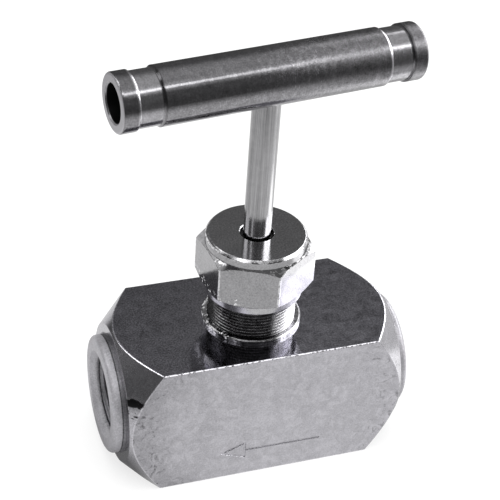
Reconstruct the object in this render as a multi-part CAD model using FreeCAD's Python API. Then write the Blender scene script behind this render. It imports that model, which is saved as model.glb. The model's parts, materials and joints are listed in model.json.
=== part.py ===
import FreeCAD, Part
import math
import os

# Needle valve in 1/2 inch pipe size, all lengths in millimetres.
# The frame's origin is the centre of the body's underside. +Z runs up the stem, and +X points
# at the inlet port. The flow arrow is on the -Y face. The valve is built closed.

Vector = FreeCAD.Vector
ORIGIN = Vector(0, 0, 0)
X_AXIS = Vector(1, 0, 0)
Y_AXIS = Vector(0, 1, 0)
Z_AXIS = Vector(0, 0, 1)

# Valve body
BODY_HEIGHT = 40.0
BODY_WIDTH = 40.0
BODY_HALF_LENGTH = 42.5
PORT_HEIGHT = BODY_HEIGHT / 2
SHOULDER_X = 39.1
SHOULDER_RADIUS = 19.4
BOSS_RADIUS = 16.4
BOSS_ROUND = 1.4
EDGE_ROUND = 0.4

# Ports: the plain wall is at the thread's major diameter
PORT_RADIUS = 10.67
PORT_DEPTH = 16.2
PORT_MOUTH_CHAMFER = 1.5
PORT_DRILL_RADIUS = 9.0
PORT_DRILL_EXTRA = 2.2
DRILL_POINT_HALF_ANGLE = 59.0

# Passages, chamber and seat pocket in the body
PASSAGE_RADIUS = 2.3
INLET_LOW_Z = 7.5
INLET_HIGH_X = 22.5
INLET_HIGH_Z = 20.9
OUTLET_Z = 20.2
ORIFICE_FLOOR_Z = 6.0
SEAT_POCKET_RADIUS = 4.2
SEAT_POCKET_Z = 13.0
CHAMBER_FLOOR_Z = 17.0
CHAMBER_RADIUS = 6.5
BONNET_SHOULDER_Z = 23.5
NOSE_BORE_RADIUS = 9.55
BODY_THREAD_Z = 27.5
BODY_THREAD_MOUTH_CHAMFER = 0.65

# Flow arrow, engraved lines on the -Y face
ARROW_DEPTH = 0.25
ARROW_LINE = 0.55
ARROW_TIP = (-13.0, 8.9)
ARROW_HEAD_TOP = (-6.4, 11.4)
ARROW_HEAD_BOTTOM = (-6.4, 6.3)
ARROW_TAIL = (15.3, 8.6)

# Thread between bonnet and body, M24 x 1
BONNET_PITCH = 1.0
BONNET_THREAD_MAJOR = 12.0
BONNET_THREAD_MINOR = 11.39
BONNET_THREAD_CREST_HALF = 0.0625
BONNET_THREAD_PHASE_Z = 27.15
BONNET_THREAD_TURNS = 23
BODY_THREAD_MAJOR = 12.13
BODY_THREAD_MINOR = 11.49
BODY_THREAD_ROOT_HALF = 0.078
BODY_THREAD_TURNS = 15
THREAD_SINK = 0.06

# Bonnet outside
NOSE_RADIUS = 9.5
NOSE_TOP_Z = 28.5
NECK_TOP_Z = 50.1
NECK_UNDERCUT_RADIUS = 11.3
NECK_UNDERCUT_Z = 49.1
HEX_APOTHEM = 14.0
HEX_CORNER_RADIUS = 16.17
HEX_ANGLE = -25.0
HEX_CORNER_LOW_Z = 54.0
HEX_CORNER_HIGH_Z = 63.5
WASHER_LOW_RADIUS = 13.4
WASHER_RADIUS = 13.7
WASHER_TOP_Z = 52.4
COLLAR_RADIUS = 13.8
COLLAR_LOW_Z = 64.87
BONNET_TOP_Z = 67.5
COLLAR_BEVEL = 0.7

# Bonnet inside
PACKING_BORE_RADIUS = 6.5
PACKING_BORE_TOP_Z = 36.5
RELIEF_RADIUS = 5.6
STEM_THREAD_LOW_Z = 49.5
STEM_THREAD_HIGH_Z = 61.5
TOP_HOLE_RADIUS = 4.5
TOP_HOLE_CHAMFER = 0.25
O_RING_GROOVE_RADIUS = 7.95
O_RING_GROOVE_LOW_Z = 24.9
O_RING_GROOVE_HIGH_Z = 27.3

# Thread between upper stem and bonnet, M10 x 1.25
STEM_PITCH = 1.25
STEM_THREAD_MAJOR = 4.9
STEM_THREAD_MINOR = 4.2
STEM_THREAD_CREST_HALF = 0.09
BONNET_BORE_MAJOR = 5.03
BONNET_BORE_MINOR = 4.35
BONNET_BORE_ROOT_HALF = 0.154
FLANK_SLOPE = math.tan(math.radians(30))

# Bonnet lock ring
LOCK_RING_RADIUS = 13.6
LOCK_RING_HOLE_RADIUS = 12.15
LOCK_RING_HEIGHT = 1.3
LOCK_RING_CHAMFER = 0.35

# Upper stem
STEM_RADIUS = 3.725
STEM_TOP_Z = 118.9
SOCKET_BOTTOM_Z = 38.0
SOCKET_TOP_Z = 44.2
SOCKET_OUTER_RADIUS = 5.2
SOCKET_BORE_RADIUS = 3.4
SOCKET_BORE_TOP_Z = 43.6
STEM_MALE_THREAD_LOW_Z = 44.6
STEM_MALE_THREAD_HIGH_Z = 56.0
RING_GROOVE_RADIUS = 4.25
RING_LOW_Z = 38.45
RING_HIGH_Z = 39.55

# Lower stem, tip and seat
LOWER_STEM_RADIUS = 3.0
LOWER_STEM_BOTTOM_Z = 19.5
NECK_RADIUS = 2.2
NECK_LOW_Z = 38.2
NECK_HIGH_Z = 39.75
HEAD_RADIUS = 3.2
HEAD_TOP_Z = 41.3
BALL_RADIUS = 1.5
BALL_CENTRE_Z = 42.0
TIP_SHANK_RADIUS = 1.5
TIP_SHANK_TOP_Z = 24.0
TIP_SMALL_RADIUS = 0.6
SEAT_HOLE_RADIUS = 2.3
SEAT_MOUTH_RADIUS = 3.2
SEAT_HALF_ANGLE = 30.0
SEAT_GAP = 0.1

# Packing stack, from the bottom up
PACKING_INNER_RADIUS = 3.04
PACKING_OUTER_RADIUS = 6.45
PACKING_PEAK = 0.8
PACKING_RING_HEIGHT = 1.9
RETAINER_LOW_Z = 24.2
RETAINER_HIGH_Z = 27.5
RETAINER_HOLE_RADIUS = 3.1
RETAINER_SLOT_WIDTH = 1.4
RETAINER_SLOT_DEPTH = 1.0
LOWER_SUPPORT_EDGE_Z = 29.2
UPPER_SUPPORT_TOP_Z = 36.4

# Bonnet seals and stem wiper
O_RING_SECTION_RADIUS = 0.75
O_RING_CENTRE_RADIUS = 8.75
O_RING_CENTRE_Z = 25.75
BACKUP_LOW_Z = 26.6
BACKUP_HIGH_Z = 27.25
WIPER_LOW_Z = 64.4
WIPER_HIGH_Z = 66.3
WIPER_HOLE_RADIUS = 3.76
WIPER_LIP_HEIGHT = 0.4

# Handle bar and its pin
HANDLE_Z = 114.3
HANDLE_RADIUS = 7.6
HANDLE_HALF_LENGTH = 41.4
HANDLE_OFF_CENTRE = 0.3
HANDLE_BORE_RADIUS = 4.9
HANDLE_BORE_CHAMFER = 0.4
HANDLE_END_ROUND = 0.7
HANDLE_REST_ANGLE = 7.0
GROOVE_INNER_X = 30.8
GROOVE_OUTER_X = 37.2
GROOVE_DEPTH = 0.5
GROOVE_EDGE = 0.25
PIN_RADIUS = 1.5
PIN_RECESS = 0.3
PIN_HOLE_FLOOR = 1.0
PIN_END_GAP = 0.1


def revolved(points, axis, axis_map):
    """A solid of revolution about a line through the origin from (radius, distance) points."""
    corners = [axis_map(radius, distance) for radius, distance in points]
    corners.append(corners[0])
    face = Part.Face(Part.makePolygon(corners))
    return face.revolve(ORIGIN, axis, 360)


def turned_z(points):
    """A turned solid about Z from (radius, z) points."""
    return revolved(points, Z_AXIS, lambda radius, z: Vector(radius, 0, z))


def turned_x(points, z_axis=0.0):
    """A turned solid about the line along X at the given height, from (radius, x) points."""
    solid = revolved(points, X_AXIS, lambda radius, x: Vector(x, 0, radius))
    solid.translate(Vector(0, 0, z_axis))
    return solid


def tube_z(inner, outer, low, high):
    """A plain tube about Z."""
    return turned_z([(inner, low), (outer, low), (outer, high), (inner, high)])


def rod_z(radius, low, high):
    """A plain cylinder about Z."""
    return Part.makeCylinder(radius, high - low, Vector(0, 0, low), Z_AXIS)


def rod_between(radius, start, end):
    """A cylinder from one point to another."""
    direction = end - start
    return Part.makeCylinder(radius, direction.Length, start, direction)


def helical_ridge(inner, outer, outer_half, pitch, low, turns):
    """A 60 degree thread ridge about Z. outer_half is half its width at the outer radius."""
    inner_half = outer_half + (outer - inner) * FLANK_SLOPE
    helix = Part.makeHelix(pitch, pitch * turns, inner)
    helix.translate(Vector(0, 0, low))
    profile = Part.makePolygon([
        Vector(inner, 0, low - inner_half),
        Vector(outer, 0, low - outer_half),
        Vector(outer, 0, low + outer_half),
        Vector(inner, 0, low + inner_half),
        Vector(inner, 0, low - inner_half),
    ])
    return Part.Wire(helix.Edges).makePipeShell([profile], True, True)


def male_thread(major, minor, crest_half, pitch, phase_z, low, high, turns):
    """A threaded rod from low to high whose ends are chamfered down to the minor radius."""
    depth = major - minor
    ridge = helical_ridge(minor - THREAD_SINK, major, crest_half, pitch, phase_z, turns)
    envelope = turned_z([
        (0, low),
        (minor, low),
        (major + 0.01, low + depth),
        (major + 0.01, high - depth),
        (minor, high),
        (0, high),
    ])
    return rod_z(minor, low, high).fuse(ridge.common(envelope))


def port_cavity():
    """The inlet port's hole, along +X: wall, drilled end and drill point."""
    wall_end = BODY_HALF_LENGTH - PORT_DEPTH
    drill_end = wall_end - PORT_DRILL_EXTRA
    point = drill_end - PORT_DRILL_RADIUS / math.tan(math.radians(DRILL_POINT_HALF_ANGLE))
    return turned_x([
        (0, point),
        (PORT_DRILL_RADIUS, drill_end),
        (PORT_DRILL_RADIUS, wall_end),
        (PORT_RADIUS, wall_end),
        (PORT_RADIUS, BODY_HALF_LENGTH + 1),
        (0, BODY_HALF_LENGTH + 1),
    ], PORT_HEIGHT)


def bar_stock():
    """The square bar."""
    corner = Vector(-BODY_HALF_LENGTH, -BODY_WIDTH / 2, 0)
    return Part.makeBox(2 * BODY_HALF_LENGTH, BODY_WIDTH, BODY_HEIGHT, corner)


def end_turning():
    """What the lathe leaves of both ends: 45 degree corners, a flat shoulder and a boss."""
    outside = BODY_WIDTH
    half = [
        (outside, SHOULDER_X - (outside - SHOULDER_RADIUS)),
        (SHOULDER_RADIUS, SHOULDER_X),
        (BOSS_RADIUS, SHOULDER_X),
        (BOSS_RADIUS, BODY_HALF_LENGTH),
        (0, BODY_HALF_LENGTH),
    ]
    other_half = [(radius, -x) for radius, x in reversed(half)]
    return turned_x(half + other_half, PORT_HEIGHT)


def bonnet_bore():
    """The threaded bore in the body's top, its nose bore and the flow chamber under it."""
    tap = male_thread(
        BODY_THREAD_MAJOR, BODY_THREAD_MINOR, BODY_THREAD_ROOT_HALF, BONNET_PITCH,
        BONNET_THREAD_PHASE_Z - BONNET_PITCH, BODY_THREAD_Z, BODY_HEIGHT + BONNET_PITCH, BODY_THREAD_TURNS,
    )
    mouth = BODY_THREAD_MINOR + BODY_THREAD_MOUTH_CHAMFER
    bore = turned_z([
        (0, CHAMBER_FLOOR_Z),
        (CHAMBER_RADIUS, CHAMBER_FLOOR_Z),
        (CHAMBER_RADIUS, BONNET_SHOULDER_Z),
        (NOSE_BORE_RADIUS, BONNET_SHOULDER_Z),
        (NOSE_BORE_RADIUS, BODY_THREAD_Z),
        (BODY_THREAD_MINOR, BODY_THREAD_Z),
        (BODY_THREAD_MINOR, BODY_HEIGHT - BODY_THREAD_MOUTH_CHAMFER),
        (mouth, BODY_HEIGHT),
        (mouth, BODY_HEIGHT + 1),
        (0, BODY_HEIGHT + 1),
    ])
    return [bore, tap]


def turned_bar():
    """The bar with its ends turned and its long and hyperbolic edges rounded."""
    blank = bar_stock().common(end_turning())
    edges = []
    for edge in blank.Edges:
        is_long = edge.BoundBox.XLength > BODY_HALF_LENGTH
        if is_long or isinstance(edge.Curve, Part.Hyperbola):
            edges.append(edge)
    return blank.makeFillet(EDGE_ROUND, edges)


def end_circles(shape, radius):
    """The circular edges of that radius in the two end faces."""
    found = []
    for edge in shape.Edges:
        in_end_face = abs(abs(edge.BoundBox.XMin) - BODY_HALF_LENGTH) < 0.01
        if in_end_face and isinstance(edge.Curve, Part.Circle) and edge.BoundBox.XLength < 0.01:
            if abs(edge.Curve.Radius - radius) < 0.01:
                found.append(edge)
    return found


def seat_pocket():
    """The pocket of the seat insert and the orifice below it, with its drill point."""
    point = PASSAGE_RADIUS / math.tan(math.radians(DRILL_POINT_HALF_ANGLE))
    return turned_z([
        (0, ORIFICE_FLOOR_Z - point),
        (PASSAGE_RADIUS, ORIFICE_FLOOR_Z),
        (PASSAGE_RADIUS, SEAT_POCKET_Z),
        (SEAT_POCKET_RADIUS, SEAT_POCKET_Z),
        (SEAT_POCKET_RADIUS, CHAMBER_FLOOR_Z + 1),
        (0, CHAMBER_FLOOR_Z + 1),
    ])


def flow_passages():
    """The slanted passage from the inlet to the orifice, and the outlet's level one."""
    inlet = rod_between(
        PASSAGE_RADIUS,
        Vector(0, 0, INLET_LOW_Z),
        Vector(INLET_HIGH_X, 0, INLET_HIGH_Z),
    )
    outlet_start = PORT_DEPTH - BODY_HALF_LENGTH
    outlet = rod_between(
        PASSAGE_RADIUS,
        Vector(outlet_start, 0, OUTLET_Z),
        Vector(-CHAMBER_RADIUS / 2, 0, OUTLET_Z),
    )
    return [inlet, outlet]


def engraved_line(start, end):
    """A straight groove in the -Y face between two (x, z) points, with round ends."""
    face_y = -BODY_WIDTH / 2
    low = Vector(start[0], face_y - 1, start[1])
    high = Vector(end[0], face_y - 1, end[1])
    along = high - low
    side = along.cross(Y_AXIS).normalize() * (ARROW_LINE / 2)
    corners = [low + side, high + side, high - side, low - side, low + side]
    depth = ARROW_DEPTH + 1
    groove = Part.Face(Part.makePolygon(corners)).extrude(Y_AXIS * depth)
    ends = [Part.makeCylinder(ARROW_LINE / 2, depth, point, Y_AXIS) for point in (low, high)]
    return groove.fuse(ends)


def flow_arrow():
    """The flow arrow: an outlined head that points at the outlet, and one line for its shaft."""
    head = [ARROW_TIP, ARROW_HEAD_TOP, ARROW_HEAD_BOTTOM, ARROW_TIP]
    lines = [engraved_line(a, b) for a, b in zip(head, head[1:])]
    shaft_start = (ARROW_HEAD_TOP[0], (ARROW_HEAD_TOP[1] + ARROW_HEAD_BOTTOM[1]) / 2)
    lines.append(engraved_line(shaft_start, ARROW_TAIL))
    return lines


def valve_body():
    """The bar-stock body with its two ports, passages, bonnet bore and arrow."""
    inlet_port = port_cavity()
    outlet_port = inlet_port.copy()
    outlet_port.rotate(ORIGIN, Z_AXIS, 180)
    body = turned_bar().cut(inlet_port).cut(outlet_port)
    body = body.makeFillet(BOSS_ROUND, end_circles(body, BOSS_RADIUS))
    body = body.makeChamfer(PORT_MOUTH_CHAMFER, end_circles(body, PORT_RADIUS))
    for cut in [seat_pocket()] + flow_passages() + flow_arrow() + bonnet_bore():
        body = body.cut(cut)
    return body


def hexagon(low, high):
    """A hexagonal prism about Z with the bonnet's corner radius and angle."""
    corners = []
    for k in range(7):
        angle = math.radians(HEX_ANGLE + 60 * k)
        radius = HEX_APOTHEM / math.cos(math.radians(30))
        corners.append(Vector(radius * math.cos(angle), radius * math.sin(angle), low))
    return Part.Face(Part.makePolygon(corners)).extrude(Z_AXIS * (high - low))


def bonnet_head():
    """The hexagon, chamfered at both ends, with a washer face below and a collar on top."""
    turning = turned_z([
        (0, NECK_TOP_Z),
        (WASHER_LOW_RADIUS, NECK_TOP_Z),
        (WASHER_RADIUS, WASHER_TOP_Z),
        (HEX_CORNER_RADIUS, HEX_CORNER_LOW_Z),
        (HEX_CORNER_RADIUS, HEX_CORNER_HIGH_Z),
        (COLLAR_RADIUS, COLLAR_LOW_Z),
        (0, COLLAR_LOW_Z),
    ])
    collar = turned_z([
        (0, COLLAR_LOW_Z),
        (COLLAR_RADIUS, COLLAR_LOW_Z),
        (COLLAR_RADIUS - 0.1, BONNET_TOP_Z - COLLAR_BEVEL),
        (COLLAR_RADIUS - COLLAR_BEVEL, BONNET_TOP_Z),
        (0, BONNET_TOP_Z),
    ])
    return hexagon(NECK_TOP_Z, COLLAR_LOW_Z).common(turning).fuse(collar)


def bonnet_nose():
    """The plain lower end of the bonnet with its O-ring groove."""
    return turned_z([
        (0, BONNET_SHOULDER_Z),
        (NOSE_RADIUS - 0.3, BONNET_SHOULDER_Z),
        (NOSE_RADIUS, BONNET_SHOULDER_Z + 0.3),
        (NOSE_RADIUS, O_RING_GROOVE_LOW_Z),
        (O_RING_GROOVE_RADIUS, O_RING_GROOVE_LOW_Z),
        (O_RING_GROOVE_RADIUS, O_RING_GROOVE_HIGH_Z),
        (NOSE_RADIUS, O_RING_GROOVE_HIGH_Z),
        (NOSE_RADIUS, NOSE_TOP_Z),
        (0, NOSE_TOP_Z),
    ])


def bonnet_cavity():
    """The packing bore, the relief round the stem's socket and the stem's hole."""
    mouth = TOP_HOLE_RADIUS + TOP_HOLE_CHAMFER
    return turned_z([
        (0, BONNET_SHOULDER_Z - 1),
        (PACKING_BORE_RADIUS, BONNET_SHOULDER_Z - 1),
        (PACKING_BORE_RADIUS, PACKING_BORE_TOP_Z),
        (RELIEF_RADIUS, PACKING_BORE_TOP_Z),
        (RELIEF_RADIUS, STEM_THREAD_LOW_Z),
        (BONNET_BORE_MINOR, STEM_THREAD_LOW_Z),
        (BONNET_BORE_MINOR, STEM_THREAD_HIGH_Z),
        (TOP_HOLE_RADIUS, STEM_THREAD_HIGH_Z),
        (TOP_HOLE_RADIUS, BONNET_TOP_Z - TOP_HOLE_CHAMFER),
        (mouth, BONNET_TOP_Z),
        (mouth, BONNET_TOP_Z + 1),
        (0, BONNET_TOP_Z + 1),
    ])


def stem_thread_tap():
    """The tap of the stem's thread in the bonnet, in phase with the thread on the stem."""
    turns_skipped = 2
    return male_thread(
        BONNET_BORE_MAJOR, BONNET_BORE_MINOR, BONNET_BORE_ROOT_HALF, STEM_PITCH,
        STEM_MALE_THREAD_LOW_Z + turns_skipped * STEM_PITCH,
        STEM_THREAD_LOW_Z - 1, STEM_THREAD_HIGH_Z, 12,
    )


def bonnet():
    """The bonnet: nose, male thread, undercut, hexagon and collar, bored for the stem."""
    neck = male_thread(
        BONNET_THREAD_MAJOR, BONNET_THREAD_MINOR, BONNET_THREAD_CREST_HALF,
        BONNET_PITCH, BONNET_THREAD_PHASE_Z, NOSE_TOP_Z, NECK_UNDERCUT_Z, BONNET_THREAD_TURNS,
    )
    undercut = rod_z(NECK_UNDERCUT_RADIUS, NECK_UNDERCUT_Z, NECK_TOP_Z)
    solid = bonnet_head().fuse([undercut, neck, bonnet_nose()])
    return solid.cut(bonnet_cavity()).cut(stem_thread_tap())


def bonnet_lock_ring():
    """The thin ring on the body's top round the bonnet's thread."""
    low = BODY_HEIGHT
    high = BODY_HEIGHT + LOCK_RING_HEIGHT
    return turned_z([
        (LOCK_RING_HOLE_RADIUS, low),
        (LOCK_RING_RADIUS, low),
        (LOCK_RING_RADIUS, high - LOCK_RING_CHAMFER),
        (LOCK_RING_RADIUS - LOCK_RING_CHAMFER, high),
        (LOCK_RING_HOLE_RADIUS, high),
    ])


def bonnet_o_ring():
    """The O-ring in the groove of the bonnet's nose."""
    centre = Vector(0, 0, O_RING_CENTRE_Z)
    return Part.makeTorus(O_RING_CENTRE_RADIUS, O_RING_SECTION_RADIUS, centre, Z_AXIS)


def bonnet_backup_ring():
    """The flat ring that backs up the O-ring."""
    return tube_z(O_RING_GROOVE_RADIUS + 0.05, NOSE_RADIUS, BACKUP_LOW_Z, BACKUP_HIGH_Z)


def seat_insert():
    """The pressed-in seat: a ring whose mouth is the cone that the tip closes on."""
    rise = (SEAT_MOUTH_RADIUS - SEAT_HOLE_RADIUS) / math.tan(math.radians(SEAT_HALF_ANGLE))
    return turned_z([
        (SEAT_HOLE_RADIUS, SEAT_POCKET_Z),
        (SEAT_POCKET_RADIUS, SEAT_POCKET_Z),
        (SEAT_POCKET_RADIUS, CHAMBER_FLOOR_Z),
        (SEAT_MOUTH_RADIUS, CHAMBER_FLOOR_Z),
        (SEAT_HOLE_RADIUS, CHAMBER_FLOOR_Z - rise),
    ])


def needle_tip():
    """The cone that closes the seat, with the shank that holds it in the lower stem."""
    slope = math.tan(math.radians(SEAT_HALF_ANGLE))
    seat_rise = (SEAT_MOUTH_RADIUS - SEAT_HOLE_RADIUS) / slope
    lift = SEAT_GAP / math.sin(math.radians(SEAT_HALF_ANGLE))
    seat_edge_z = CHAMBER_FLOOR_Z - seat_rise + lift
    point_z = seat_edge_z - (SEAT_HOLE_RADIUS - TIP_SMALL_RADIUS) / slope
    full_z = seat_edge_z + (LOWER_STEM_RADIUS - SEAT_HOLE_RADIUS) / slope
    return turned_z([
        (0, point_z),
        (TIP_SMALL_RADIUS, point_z),
        (LOWER_STEM_RADIUS, full_z),
        (LOWER_STEM_RADIUS, LOWER_STEM_BOTTOM_Z),
        (TIP_SHANK_RADIUS, LOWER_STEM_BOTTOM_Z),
        (TIP_SHANK_RADIUS, TIP_SHANK_TOP_Z),
        (0, TIP_SHANK_TOP_Z),
    ])


def lower_stem():
    """The sliding stem: a hole for the tip's shank, a neck, and a head with the ball's dimple."""
    rod = turned_z([
        (TIP_SHANK_RADIUS, LOWER_STEM_BOTTOM_Z),
        (LOWER_STEM_RADIUS, LOWER_STEM_BOTTOM_Z),
        (LOWER_STEM_RADIUS, NECK_LOW_Z),
        (NECK_RADIUS, NECK_LOW_Z),
        (NECK_RADIUS, NECK_HIGH_Z),
        (HEAD_RADIUS, NECK_HIGH_Z),
        (HEAD_RADIUS, HEAD_TOP_Z),
        (0, HEAD_TOP_Z),
        (0, TIP_SHANK_TOP_Z + 0.3),
        (TIP_SHANK_RADIUS, TIP_SHANK_TOP_Z + 0.3),
    ])
    return rod.cut(Part.makeSphere(BALL_RADIUS + 0.02, Vector(0, 0, BALL_CENTRE_Z)))


def thrust_ball():
    """The ball that carries the closing force from the upper stem to the lower one."""
    return Part.makeSphere(BALL_RADIUS, Vector(0, 0, BALL_CENTRE_Z))


def stem_retaining_ring():
    """The split ring in the socket's groove that lifts the lower stem by its head."""
    ring = tube_z(NECK_RADIUS + 0.2, RING_GROOVE_RADIUS - 0.05, RING_LOW_Z, RING_HIGH_Z)
    gap = Part.makeBox(
        RING_GROOVE_RADIUS, 1.0, RING_HIGH_Z - RING_LOW_Z + 1,
        Vector(0, -0.5, RING_LOW_Z - 0.5),
    )
    return ring.cut(gap)


def upper_stem():
    """The turning stem: the socket, the thread and the plain rod up into the handle."""
    socket = turned_z([
        (SOCKET_BORE_RADIUS, SOCKET_BOTTOM_Z),
        (SOCKET_OUTER_RADIUS, SOCKET_BOTTOM_Z),
        (SOCKET_OUTER_RADIUS, SOCKET_TOP_Z),
        (0, SOCKET_TOP_Z),
        (0, SOCKET_BORE_TOP_Z),
        (SOCKET_BORE_RADIUS, SOCKET_BORE_TOP_Z),
        (SOCKET_BORE_RADIUS, RING_HIGH_Z + 0.05),
        (RING_GROOVE_RADIUS, RING_HIGH_Z + 0.05),
        (RING_GROOVE_RADIUS, RING_LOW_Z - 0.05),
        (SOCKET_BORE_RADIUS, RING_LOW_Z - 0.05),
    ])
    relief = rod_z(STEM_THREAD_MINOR - 0.05, SOCKET_TOP_Z, STEM_MALE_THREAD_LOW_Z)
    turns = 10
    thread = male_thread(
        STEM_THREAD_MAJOR, STEM_THREAD_MINOR, STEM_THREAD_CREST_HALF, STEM_PITCH,
        STEM_MALE_THREAD_LOW_Z, STEM_MALE_THREAD_LOW_Z, STEM_MALE_THREAD_HIGH_Z, turns,
    )
    rod = rod_z(STEM_RADIUS, STEM_MALE_THREAD_HIGH_Z, STEM_TOP_Z)
    solid = socket.fuse([relief, thread, rod])
    return solid.cut(handle_pin())


def packing_retainer():
    """The gland under the packing, with a screwdriver slot in its underside."""
    gland = tube_z(RETAINER_HOLE_RADIUS, PACKING_OUTER_RADIUS, RETAINER_LOW_Z, RETAINER_HIGH_Z)
    slot = Part.makeBox(
        4 * PACKING_OUTER_RADIUS, RETAINER_SLOT_WIDTH, RETAINER_SLOT_DEPTH,
        Vector(-2 * PACKING_OUTER_RADIUS, -RETAINER_SLOT_WIDTH / 2, RETAINER_LOW_Z),
    )
    return gland.cut(slot)


def packing_middle():
    """The radius at which the packing's V profile peaks."""
    return (PACKING_INNER_RADIUS + PACKING_OUTER_RADIUS) / 2


def lower_packing_support():
    """The support with a ridge that the lowest packing ring sits on."""
    return turned_z([
        (PACKING_INNER_RADIUS, RETAINER_HIGH_Z),
        (PACKING_OUTER_RADIUS, RETAINER_HIGH_Z),
        (PACKING_OUTER_RADIUS, LOWER_SUPPORT_EDGE_Z),
        (packing_middle(), LOWER_SUPPORT_EDGE_Z + PACKING_PEAK),
        (PACKING_INNER_RADIUS, LOWER_SUPPORT_EDGE_Z),
    ])


def packing_ring(index):
    """One V-shaped packing ring, counted from the bottom."""
    low = LOWER_SUPPORT_EDGE_Z + index * PACKING_RING_HEIGHT
    high = low + PACKING_RING_HEIGHT
    return turned_z([
        (PACKING_INNER_RADIUS, low),
        (packing_middle(), low + PACKING_PEAK),
        (PACKING_OUTER_RADIUS, low),
        (PACKING_OUTER_RADIUS, high),
        (packing_middle(), high + PACKING_PEAK),
        (PACKING_INNER_RADIUS, high),
    ])


def upper_packing_support():
    """The support with a V groove that covers the highest packing ring."""
    low = LOWER_SUPPORT_EDGE_Z + 3 * PACKING_RING_HEIGHT
    return turned_z([
        (PACKING_INNER_RADIUS, low),
        (packing_middle(), low + PACKING_PEAK),
        (PACKING_OUTER_RADIUS, low),
        (PACKING_OUTER_RADIUS, UPPER_SUPPORT_TOP_Z),
        (PACKING_INNER_RADIUS, UPPER_SUPPORT_TOP_Z),
    ])


def stem_wiper():
    """The rubber ring that closes the gap round the stem, with a lip at its hole."""
    return turned_z([
        (WIPER_HOLE_RADIUS, WIPER_LOW_Z),
        (TOP_HOLE_RADIUS, WIPER_LOW_Z),
        (TOP_HOLE_RADIUS, WIPER_HIGH_Z - WIPER_LIP_HEIGHT),
        (WIPER_HOLE_RADIUS + 0.35, WIPER_HIGH_Z - WIPER_LIP_HEIGHT),
        (WIPER_HOLE_RADIUS + 0.1, WIPER_HIGH_Z),
        (WIPER_HOLE_RADIUS, WIPER_HIGH_Z),
    ])


def turned_to_rest(shape):
    """A handle part, built along X, turned to where the handle rests."""
    shape.rotate(ORIGIN, Z_AXIS, HANDLE_REST_ANGLE)
    return shape


def pin_hole():
    """The blind hole of the pin, from the back of the bar through the stem to the front wall."""
    start = Vector(0, PIN_HOLE_FLOOR - HANDLE_RADIUS, HANDLE_Z)
    end = Vector(0, 2 * HANDLE_RADIUS, HANDLE_Z)
    return turned_to_rest(rod_between(PIN_RADIUS, start, end))


def handle_pin():
    """The straight pin that holds the stem in the bar."""
    start = Vector(0, PIN_HOLE_FLOOR + PIN_END_GAP - HANDLE_RADIUS, HANDLE_Z)
    end = Vector(0, HANDLE_RADIUS - PIN_RECESS, HANDLE_Z)
    return turned_to_rest(rod_between(PIN_RADIUS, start, end))


def handle_bar():
    """The hollow bar with a groove inboard of each end collar, bored for the stem and pin."""
    floor = HANDLE_RADIUS - GROOVE_DEPTH
    half = [
        (HANDLE_RADIUS, GROOVE_INNER_X - GROOVE_EDGE),
        (floor, GROOVE_INNER_X + GROOVE_EDGE),
        (floor, GROOVE_OUTER_X - GROOVE_EDGE),
        (HANDLE_RADIUS, GROOVE_OUTER_X),
        (HANDLE_RADIUS, HANDLE_HALF_LENGTH),
        (HANDLE_BORE_RADIUS, HANDLE_HALF_LENGTH),
    ]
    other_half = [(radius, -x) for radius, x in reversed(half)]
    bar = turned_x(other_half + half, HANDLE_Z)
    rims = []
    inner_rims = []
    for edge in bar.Edges:
        at_end = abs(abs(edge.BoundBox.XMin) - HANDLE_HALF_LENGTH) < 0.01
        if at_end and edge.BoundBox.XLength < 0.01:
            reach = edge.BoundBox.ZLength / 2
            if abs(reach - HANDLE_RADIUS) < 0.01:
                rims.append(edge)
            if abs(reach - HANDLE_BORE_RADIUS) < 0.01:
                inner_rims.append(edge)
    bar = bar.makeFillet(HANDLE_END_ROUND, rims)
    bar = bar.makeChamfer(HANDLE_BORE_CHAMFER, [
        edge for edge in bar.Edges
        if any(edge.CenterOfMass.isEqual(rim.CenterOfMass, 0.01) for rim in inner_rims)
        and abs(edge.BoundBox.ZLength / 2 - HANDLE_BORE_RADIUS) < 0.01
    ])
    bar.translate(X_AXIS * HANDLE_OFF_CENTRE)
    stem_hole = rod_z(STEM_RADIUS, HANDLE_Z - 2 * HANDLE_RADIUS, STEM_TOP_Z)
    return turned_to_rest(bar).cut(stem_hole).cut(pin_hole())


PARTS = {
    "valve_body": valve_body,
    "bonnet": bonnet,
    "bonnet_lock_ring": bonnet_lock_ring,
    "bonnet_o_ring": bonnet_o_ring,
    "bonnet_backup_ring": bonnet_backup_ring,
    "seat_insert": seat_insert,
    "packing_retainer": packing_retainer,
    "lower_packing_support": lower_packing_support,
    "lower_packing_ring": lambda: packing_ring(0),
    "middle_packing_ring": lambda: packing_ring(1),
    "upper_packing_ring": lambda: packing_ring(2),
    "upper_packing_support": upper_packing_support,
    "stem_wiper": stem_wiper,
    "needle_tip": needle_tip,
    "lower_stem": lower_stem,
    "thrust_ball": thrust_ball,
    "upper_stem": upper_stem,
    "stem_retaining_ring": stem_retaining_ring,
    "handle_bar": handle_bar,
    "handle_pin": handle_pin,
}


def main():
    """Builds every part and writes it to its own file."""
    os.makedirs("parts", exist_ok=True)
    for name, make in PARTS.items():
        shape = make()
        if shape.ShapeType != "Solid":
            shape = shape.Solids[0] if len(shape.Solids) == 1 else shape
        if not shape.isValid() or len(shape.Solids) != 1:
            raise ValueError(f"{name}: valid {shape.isValid()}, solids {len(shape.Solids)}")
        shape.exportStep(f"parts/{name}.step")
        print(f"{name:24s} volume {shape.Volume:10.1f} mm3")


main()
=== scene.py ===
"""Needle valve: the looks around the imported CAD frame, in metres."""
import json
import math

import bmesh
import bpy
from mathutils import Matrix, Vector


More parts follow.
